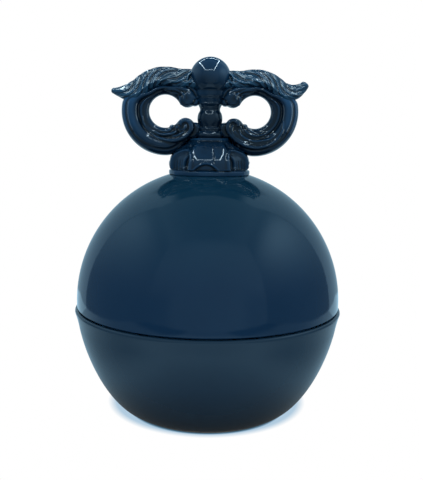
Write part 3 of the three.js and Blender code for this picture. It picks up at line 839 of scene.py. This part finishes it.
for name, side in (("left", -1), ("right", 1)):
    coils = []
    for face in (-1, 1):
        coils.append(laid_on(hooks[name], side, face, hook_thickness))
        for rib in ribs[name]:
            coils.append(laid_on(rib, side, face, rib_thickness, rib_sink))
        for line in arch_lines:
            coils.append(laid_on(line, side, face, arch_thickness, rib_sink))
    bead_x, bead_z = on_ring(bead_angles[name], loop_radius + 0.0006)
    along = np.linspace(-1, 1, 15)
    coils.append(([(side * bead_x, y, bead_z) for y in bead_half_length * along],
                  bead_radius * np.sqrt(1 - (0.97 * along) ** 2)))
    heel_middle = (neck_radius + heel_radius * 0.6, knob_low.z + heel_radius / 3)
    shells = [skin(band_rings(side))] + [skin(cake_rings(side, *cake)) for cake in cakes]
    shells.append(skin(cake_rings(side, heel_middle, heel_radius, scroll_depth / 3)))
    for out, up in fillet_places:
        fillet_middle = (fillet_radius * out, stem_low.z + fillet_radius * up)
        shells.append(skin(cake_rings(side, fillet_middle, fillet_radius, fillet_face)))
    scroll = pressed("scroll_" + name + "_volute", shells, coils, clay_grain, 5, finial_glaze, painted_roll_highlight)
    seat(scroll, "lid", "scroll_" + name, finial_glaze)


# Leaves
# An acanthus leaf is pressed over the back of each scroll, from the knob to a free tip that flicks up.
# Its lobes are modelled by hand, slanting one behind the other, with fine veins drawn between them.
leaf_overlap, leaf_drop = 0.0014, 0.001
leaf_depth, leaf_tip_depth = 0.0144, 0.0044
tip_widths = {"left": (0.0062, 0.0030), "right": (0.0066, 0.0046)}
leaf_shapes = {"left": (0.0109, 0.0553, 0.0112, 12), "right": (0.0100, 0.0537, 0.0165, 54)}
leaf_root, leaf_turn = 108, 48
leaf_lobes, lobe_slant, lobe_relief = 8.4, 2.5, 0.0013
# How far down its sides, from its upper edge at 1 to its lower one at -1, the leaf slopes like a roof
leaf_eaves = -0.55
veins_per_lobe, vein_depth = 3, 0.00006
# The tuft beside the knob, in millimetres: out from the stem's axis, forward, and up from the knob's middle
tuft = [(10.4, 3.4, 2.4), (12.2, 4.8, 0.8), (12.8, 5.6, -2), (12.2, 5.8, -5)]
tuft_root, tuft_tip = 0.9, 0.5
# The leaves take a paler copy of the finial's glaze: painted light, for the light their upturned lobes catch.
leaf_lit_glaze = glazed("leaf_lit_glaze", (0.0004, 0.0062, 0.0185), (0.0100, 0.0660, 0.1450), 0.10, edges=2.0,
                    vein_depth=vein_depth)


def leaf_line(width, reach, rise, slope):
    """The leaf's middle line from the knob to its tip, evenly spaced, for the right hand."""
    middle = loop_radius + arch_width - leaf_overlap + width / 2
    start, leave = np.array(on_ring(leaf_root, middle)), np.array(on_ring(leaf_turn, middle))
    root = np.array([knob_radius / 2, knob_middle - leaf_drop])
    line = [root + (start - root) * share for share in np.linspace(0, 1, 40)[:-1]]
    line += [np.array(on_ring(angle, middle)) for angle in np.linspace(leaf_root, leaf_turn, 80)[:-1]]
    turn_angle, lift = math.radians(leaf_turn), math.radians(slope)
    end = np.array([reach, scroll_middle + rise])
    first = leave + np.array([math.sin(turn_angle), -math.cos(turn_angle)]) * width * 0.7
    second = end - np.array([math.cos(lift), math.sin(lift)]) * width * 0.8
    for t in np.linspace(0, 1, 80):
        remaining = 1 - t
        line.append(remaining ** 3 * leave + 3 * remaining ** 2 * t * first + 3 * remaining * t * t * second
                    + t ** 3 * end)
    line = np.array(line)
    length = np.concatenate([[0], np.cumsum(np.linalg.norm(np.diff(line, axis=0), axis=1))])
    even = np.linspace(0, length[-1], 320)
    return np.stack([np.interp(even, length, line[:, k]) for k in (0, 1)], 1)


def lobe_phase(share, across):
    """Counts the lobes along the leaf, slanting back from its upper edge to its lower one."""
    uneven = 0.3 * np.sin(11 * share) + 0.1 * np.sin(5 * across + 9 * share)
    return share * leaf_lobes - lobe_slant * (1 - across) / 2 + uneven


def draw_veins(mesh, side, line, ahead, upward, width):
    """Marks where each point of the leaf lies between its fine veins, for the glaze to read."""
    place = np.empty(len(mesh.vertices) * 3)
    mesh.vertices.foreach_get("co", place)
    flat = place.reshape(-1, 3)[:, [0, 2]] * (side, 1)
    nearest = np.concatenate([((some[:, None] - line) ** 2).sum(2).argmin(1)
                              for some in np.array_split(flat, 40)])
    off = flat - line[nearest]
    step = np.linalg.norm(line[1] - line[0])
    bend = (np.gradient(ahead, axis=0) * upward).sum(1) / step
    beside = (off * upward[nearest]).sum(1)
    along = (off * ahead[nearest]).sum(1) / np.maximum(0.3, 1 - beside * bend[nearest])
    share = (nearest + along / step) / (len(line) - 1)
    across = np.clip(beside / (width / 2), -1, 1)
    veins = 2 * math.pi * veins_per_lobe * lobe_phase(share, across)
    mesh.attributes.new("veins", "FLOAT", "POINT").data.foreach_set("value", veins.astype(np.float32))


for name, side in (("left", -1), ("right", 1)):
    shape = leaf_shapes[name]
    line = leaf_line(*shape)
    ahead = np.gradient(line, axis=0)
    ahead /= np.linalg.norm(ahead, axis=1, keepdims=True)
    upward = np.stack([-ahead[:, 1], ahead[:, 0]], 1)
    around = (np.arange(112) + 0.5) / 112 * 2 * math.pi
    rings = []
    for row, share in enumerate(np.linspace(0, 1, len(line))):
        taper = 1 - ease(0.74, 1, share)
        rounded = math.sqrt(max(0.001, 1 - max(0, (share - 0.975) / 0.025) ** 2))
        tip_width = np.interp(share, (0.8, 0.97), tip_widths[name])
        half_width = (tip_width + (shape[0] - tip_width) * taper) / 2 * rounded
        half_depth = (leaf_tip_depth + (leaf_depth - leaf_tip_depth) * taper) / 2 * rounded
        across = np.cos(around)
        within = np.mod(lobe_phase(share, across), 1)
        bulge = np.sin(math.pi * within ** 0.75) ** 0.85 - 0.22 * np.exp(-((within - 0.62) / 0.06) ** 2)
        carved = lobe_relief * (1 - bulge) * taper * ease(0.03, 0.12, share)
        under_eaves = np.abs(np.sin(around)) ** 0.3
        down_roof = ((1 - across) / (1 - leaf_eaves)) ** 0.75
        roof = np.where(across < leaf_eaves, under_eaves, down_roof)
        sloped = roof + (np.abs(np.sin(around)) - roof) * (1 - taper)
        deep = (half_depth * sloped - carved * np.minimum(1, 2 * sloped)) * np.sign(np.sin(around))
        wide = (half_width - carved * np.where(across < 0, 0.9, 0.12)) * across
        spine, out = line[row], upward[row]
        rings.append(np.stack([side * (spine[0] + out[0] * wide), deep, spine[1] + out[1] * wide], 1))
    tufts = []
    for face in (-1, 1):
        tuft_line = [(side * x * mm, face * y * mm, knob_middle + z * mm)
                     for x, y, z in drawn_through(tuft, 40)]
        tufts.append((tuft_line, np.linspace(tuft_root, tuft_tip, 40) * mm))
    leaf = pressed("leaf_" + name + "_acanthus", [skin(rings)], tufts, clay_grain * 0.85, 5, leaf_lit_glaze)
    draw_veins(leaf.data, side, line, ahead, upward, shape[0])
    seat(leaf, "lid", "leaf_" + name, leaf_lit_glaze)


# Floor
# A white sheet under the bowl. Seen directly it is as white as the wall behind it, apart from painted shade:
# the thin dark line where the bowl stands on it and the soft shadow round that, which falls a little to the
# back.
floor_size, floor_drop = 3.0, 0.0001
shadow_radius, shadow_back, shadow_edge = 0.0568, 0.0085, 0.0025
floor_mesh = bpy.data.meshes.new("floor")
floor_corners = [(x * floor_size, y * floor_size, -floor_drop)
                 for x, y in ((-1, -1), (1, -1), (1, 1), (-1, 1))]
floor_mesh.from_pydata(floor_corners, [], [(0, 1, 2, 3)])
floor = bpy.data.objects.new("floor", floor_mesh)
bpy.context.scene.collection.objects.link(floor)
paper = bpy.data.materials.new("white_sheet")
paper.use_nodes = True
nodes = paper.node_tree.nodes
nodes.remove(nodes["Principled BSDF"])
matt = nodes.new("ShaderNodeBsdfDiffuse")
matt.inputs["Color"].default_value = (0.8, 0.8, 0.8, 1)
glow = nodes.new("ShaderNodeEmission")
near = nodes.new("ShaderNodeAmbientOcclusion")
near.inputs["Distance"].default_value = 0.0013
near.samples = 16
path = nodes.new("ShaderNodeLightPath")
seen = nodes.new("ShaderNodeMath")
seen.operation = "MAXIMUM"
seen_through = nodes.new("ShaderNodeMath")
seen_through.operation = "MAXIMUM"
white = nodes.new("ShaderNodeMixShader")
strength = nodes.new("ShaderNodeMath")
strength.operation = "POWER"
strength.inputs[1].default_value = 1.1
tinge = nodes.new("ShaderNodeMix")
tinge.data_type = "RGBA"
tinge.inputs[6].default_value = (0.3, 0.75, 1, 1)
tinge.inputs[7].default_value = (1, 1, 1, 1)
where = nodes.new("ShaderNodeTexCoord")
away = nodes.new("ShaderNodeVectorMath")
away.operation = "DISTANCE"
away.inputs[1].default_value = (0, shadow_back, 0)
shade = nodes.new("ShaderNodeMapRange")
shade.inputs["From Min"].default_value = shadow_radius - shadow_edge
shade.inputs["From Max"].default_value = shadow_radius + shadow_edge
shadow = nodes.new("ShaderNodeMix")
shadow.data_type = "RGBA"
shadow.inputs[6].default_value = (0.44, 0.60, 0.74, 1)
shadow.inputs[7].default_value = (1, 1, 1, 1)
darkened = nodes.new("ShaderNodeMix")
darkened.data_type = "RGBA"
darkened.blend_type = "MULTIPLY"
darkened.inputs[0].default_value = 1
join_nodes(paper.node_tree, [
    (where.outputs["Object"], away.inputs[0]),
    (away.outputs["Value"], shade.inputs["Value"]),
    (shade.outputs[0], shadow.inputs[0]),
    (tinge.outputs[2], darkened.inputs[6]),
    (shadow.outputs[2], darkened.inputs[7]),
    (path.outputs["Is Camera Ray"], seen.inputs[0]),
    (path.outputs["Is Glossy Ray"], seen.inputs[1]),
    (seen.outputs[0], seen_through.inputs[0]),
    (path.outputs["Is Transmission Ray"], seen_through.inputs[1]),
    (near.outputs["AO"], strength.inputs[0]),
    (strength.outputs[0], glow.inputs["Strength"]),
    (near.outputs["AO"], tinge.inputs[0]),
    (darkened.outputs[2], glow.inputs["Color"]),
    (seen_through.outputs[0], white.inputs[0]),
    (matt.outputs[0], white.inputs[1]),
    (glow.outputs[0], white.inputs[2]),
    (white.outputs[0], nodes["Material Output"].inputs["Surface"]),
])
floor_mesh.materials.append(paper)


# Light tent
# The bowl stands between cloth screens, which only its glaze shows: two lamps glow through the side screens,
# and behind their back edges the wall is brighter.
tent_half = 0.30
tent_top = ball_height + 0.57
screen_end = 0.135
seam_width = 0.006
screen_tint, table_tint = (1.0, 1.62, 2.05), (1.0, 1.05, 1.05)


def tent_tone(x, y, z):
    left_lamp = 0.25 * np.exp(-((y - 0.02) / 0.2) ** 2 - ((z - 0.34) / 0.14) ** 2)
    right_lamp = 0.46 * np.exp(-((y + 0.05) / 0.19) ** 2 - ((z - 0.34) / 0.13) ** 2)
    tone = 0.09 + 0.04 * ease(0.08, 0.2, z) + np.where(x < 0, left_lamp, right_lamp)
    corners = 0.06 * ease(0.12, 0.2, np.abs(x)) * (1 - ease(0.1, 0.2, z))
    front = 0.19 + 0.12 * x + 0.05 * ease(0.1, 0.35, z) - corners
    tone = np.where(y < -tent_half * 0.999, front, tone)
    tone = tone + (0.13 + 0.08 * (x / tent_half) ** 2 - tone) * ease(0.4, tent_top, z)
    aside, rear = ease(0.06, 0.12, np.abs(x)), ease(-0.1, 0.1, y)
    table = np.maximum(0.04, 0.36 - aside * (0.2 - 0.16 * rear) - 0.2 * (1 - ease(-0.28, -0.17, y)))
    # Round the foot the table is darker: the bowl's shadow, painted on the table that the glaze mirrors.
    tone = np.where(z < 0.001, table * (0.2 + 0.8 * ease(0.05, 0.165, np.hypot(1.5 * x, y))), tone)
    behind = 0.30 - 0.28 * ease(0.36, 0.46, z) * (1 - ease(0.16, 0.26, np.abs(x))) + 0.25 * (z < 0.001)
    tone = np.where(y > screen_end, behind, tone)
    return np.where((np.abs(y - screen_end) < seam_width / 2) & (z > 0.001), 0.13, tone)


def tent_grid(low, high):
    return np.linspace(low, high, 121)


tent_points, tent_faces = [], []
flat, tall = tent_grid(-tent_half, tent_half), tent_grid(0.0005, tent_top)
tent_faces_at = [(0, -tent_half), (0, tent_half), (1, -tent_half), (1, tent_half), (2, 0.0005), (2, tent_top)]
for fixed, value in tent_faces_at:
    first_axis, second_axis = [axis for axis in range(3) if axis != fixed]
    rows, columns = (tall if first_axis == 2 else flat), (tall if second_axis == 2 else flat)
    start = len(tent_points)
    for one in rows:
        for two in columns:
            point = [0, 0, 0]
            point[fixed], point[first_axis], point[second_axis] = value, one, two
            tent_points.append(tuple(point))
    for i in range(len(rows) - 1):
        for j in range(len(columns) - 1):
            corner = start + i * len(columns) + j
            tent_faces.append((corner, corner + 1, corner + 1 + len(columns), corner + len(columns)))
tent_mesh = bpy.data.meshes.new("light_tent")
tent_mesh.from_pydata(tent_points, [], tent_faces)
spots = np.array(tent_points)
# Round the foot the painted shadow on the table also loses the screens' blue.
near_foot = (spots[:, 2:] < 0.001) * (1 - ease(0.05, 0.13, np.hypot(1.5 * spots[:, :1], spots[:, 1:2])))
tint = np.array(screen_tint) + (np.array(table_tint) - np.array(screen_tint)) * near_foot
tents_light = tent_tone(spots[:, 0], spots[:, 1], spots[:, 2])[:, None] * tint
tone_kept = tent_mesh.attributes.new("tone", "FLOAT_VECTOR", "POINT")
tone_kept.data.foreach_set("vector", tents_light.astype(np.float32).ravel())
tent = bpy.data.objects.new("light_tent", tent_mesh)
bpy.context.scene.collection.objects.link(tent)
cloth = bpy.data.materials.new("tent_cloth")
cloth.use_nodes = True
nodes = cloth.node_tree.nodes
nodes.remove(nodes["Principled BSDF"])
cloth_tone = nodes.new("ShaderNodeAttribute")
cloth_tone.attribute_name = "tone"
cloth_glow = nodes.new("ShaderNodeEmission")
join_nodes(cloth.node_tree, [
    (cloth_tone.outputs["Vector"], cloth_glow.inputs["Color"]),
    (cloth_glow.outputs[0], nodes["Material Output"].inputs["Surface"]),
])
cloth.cycles.emission_sampling = "NONE"
tent_mesh.materials.append(cloth)
tent.visible_camera = False
tent.visible_diffuse = False
tent.visible_transmission = False
tent.visible_volume_scatter = False
tent.visible_shadow = False


# Lamps
# A thin square frame of lamps hangs over the tent's middle. Only the finial shows it, as the fine bright
# outline on the knob and the pedestal. A panel inside it glints on the leaves' lobes, and a strip standing at
# each side draws a pale line down the scrolls.
lamp_height = 0.22
lamp_colour, lamp_strength = (0.72, 0.96, 1.1), 29
panel_colour, panel_strength = (0.7, 0.93, 1.0), 9
strip_strengths = {"left": 1.6, "right": 4.0}
lamp_over = knob_middle + lamp_height
lamp_front, lamp_back = -1.25 * lamp_height, 0.72 * lamp_height
lamp_left, lamp_right = -0.75 * lamp_height, 0.53 * lamp_height
lamp_width = 0.008
panel_front, panel_back = -0.130, -0.085
strip_out, strip_front, strip_back, strip_low, strip_high = 0.28, -0.10, -0.03, 0.04, 0.30
lamp_points, lamp_faces = [], []
for x1, x2, y1, y2 in ((lamp_left, lamp_right, lamp_front, lamp_front + lamp_width),
                       (lamp_left, lamp_right, lamp_back - lamp_width, lamp_back),
                       (lamp_left, lamp_left + lamp_width, lamp_front, lamp_back),
                       (lamp_right - lamp_width, lamp_right, lamp_front, lamp_back)):
    first = len(lamp_points)
    lamp_points += [(x1, y1, lamp_over), (x2, y1, lamp_over), (x2, y2, lamp_over), (x1, y2, lamp_over)]
    lamp_faces.append((first, first + 3, first + 2, first + 1))
leaves = [bpy.data.objects["leaf_left_acanthus"], bpy.data.objects["leaf_right_acanthus"]]
scrolls = [bpy.data.objects["scroll_left_volute"], bpy.data.objects["scroll_right_volute"]]


def lamps(name, points, faces, colour, strength, pieces):
    """Glowing strips that only the glaze of some pieces shows, and which one can see through."""
    mesh = bpy.data.meshes.new(name)
    mesh.from_pydata(points, [], faces)
    lamp = bpy.data.objects.new(name, mesh)
    bpy.context.scene.collection.objects.link(lamp)
    tube = bpy.data.materials.new(name + "_tube")
    tube.use_nodes = True
    nodes = tube.node_tree.nodes
    nodes.remove(nodes["Principled BSDF"])
    glow = nodes.new("ShaderNodeEmission")
    glow.inputs["Color"].default_value = (*colour, 1)
    glow.inputs["Strength"].default_value = strength
    clear = nodes.new("ShaderNodeBsdfTransparent")
    both = nodes.new("ShaderNodeAddShader")
    join_nodes(tube.node_tree, [
        (glow.outputs[0], both.inputs[0]),
        (clear.outputs[0], both.inputs[1]),
        (both.outputs[0], nodes["Material Output"].inputs["Surface"]),
    ])
    mesh.materials.append(tube)
    lamp.visible_camera = False
    lamp.visible_diffuse = False
    lamp.visible_transmission = False
    lamp.visible_shadow = False
    lit = bpy.data.collections.new(name + "_shown_by")
    for piece in pieces:
        lit.objects.link(piece)
    lamp.light_linking.receiver_collection = lit


finial_pieces = [pedestal, stem, knob] + scrolls + leaves
lamps("light_frame", lamp_points, lamp_faces, lamp_colour, lamp_strength, finial_pieces)
panel_corners = [(lamp_left, panel_front, lamp_over), (lamp_right, panel_front, lamp_over),
                 (lamp_right, panel_back, lamp_over), (lamp_left, panel_back, lamp_over)]
lamps("light_panel", panel_corners, [(0, 3, 2, 1)], panel_colour, panel_strength, leaves)
strip_corners = [(strip_front, strip_low), (strip_back, strip_low), (strip_back, strip_high),
                 (strip_front, strip_high)]
for name, side in (("left", -1), ("right", 1)):
    standing = [(side * strip_out, y, z) for y, z in strip_corners]
    lamps("light_strip_" + name, standing, [(0, 1, 2, 3)], panel_colour, strip_strengths[name], scrolls)


# Room light and camera
# An even white light from all round, at which a colour shows about as it is written. The camera stands a
# little above the bowl, straight in front of it.
world = bpy.data.worlds.new("white_room")
bpy.context.scene.world = world
world.use_nodes = True
world.node_tree.nodes["Background"].inputs["Color"].default_value = (1, 1, 1, 1)
world.node_tree.nodes["Background"].inputs["Strength"].default_value = 1

photo_width, photo_height = 423, 480
focal_pixels = 704.8
camera_distance = 0.4125
camera_elevation = math.radians(13.15)
camera_roll = math.radians(0.7)
ball_pixel = (207.73, 297.41)
ball_middle = Vector((0, 0, ball_height))
camera_data = bpy.data.cameras.new("camera")
camera_data.sensor_fit = "HORIZONTAL"
camera_data.sensor_width = 36
camera_data.lens = focal_pixels / photo_width * camera_data.sensor_width
camera_data.clip_start = 0.01
camera = bpy.data.objects.new("camera", camera_data)
bpy.context.scene.collection.objects.link(camera)
back = Vector((0, -math.cos(camera_elevation), math.sin(camera_elevation)))
ball_aside = (ball_pixel[0] - photo_width / 2) / focal_pixels
ball_above = (photo_height / 2 - ball_pixel[1]) / focal_pixels
aim = Vector((ball_aside, ball_above, -1))
off_centre = Vector((0, 0, -1)).rotation_difference(aim).to_matrix()
facing = (-back).to_track_quat("-Z", "Y").to_matrix()
facing = facing @ Matrix.Rotation(camera_roll, 3, "Z") @ off_centre.transposed()
camera.matrix_world = Matrix.Translation(ball_middle + back * camera_distance) @ facing.to_4x4()
bpy.context.scene.camera = camera
bpy.context.scene.view_settings.view_transform = "Standard"

bpy.context.view_layer.update()
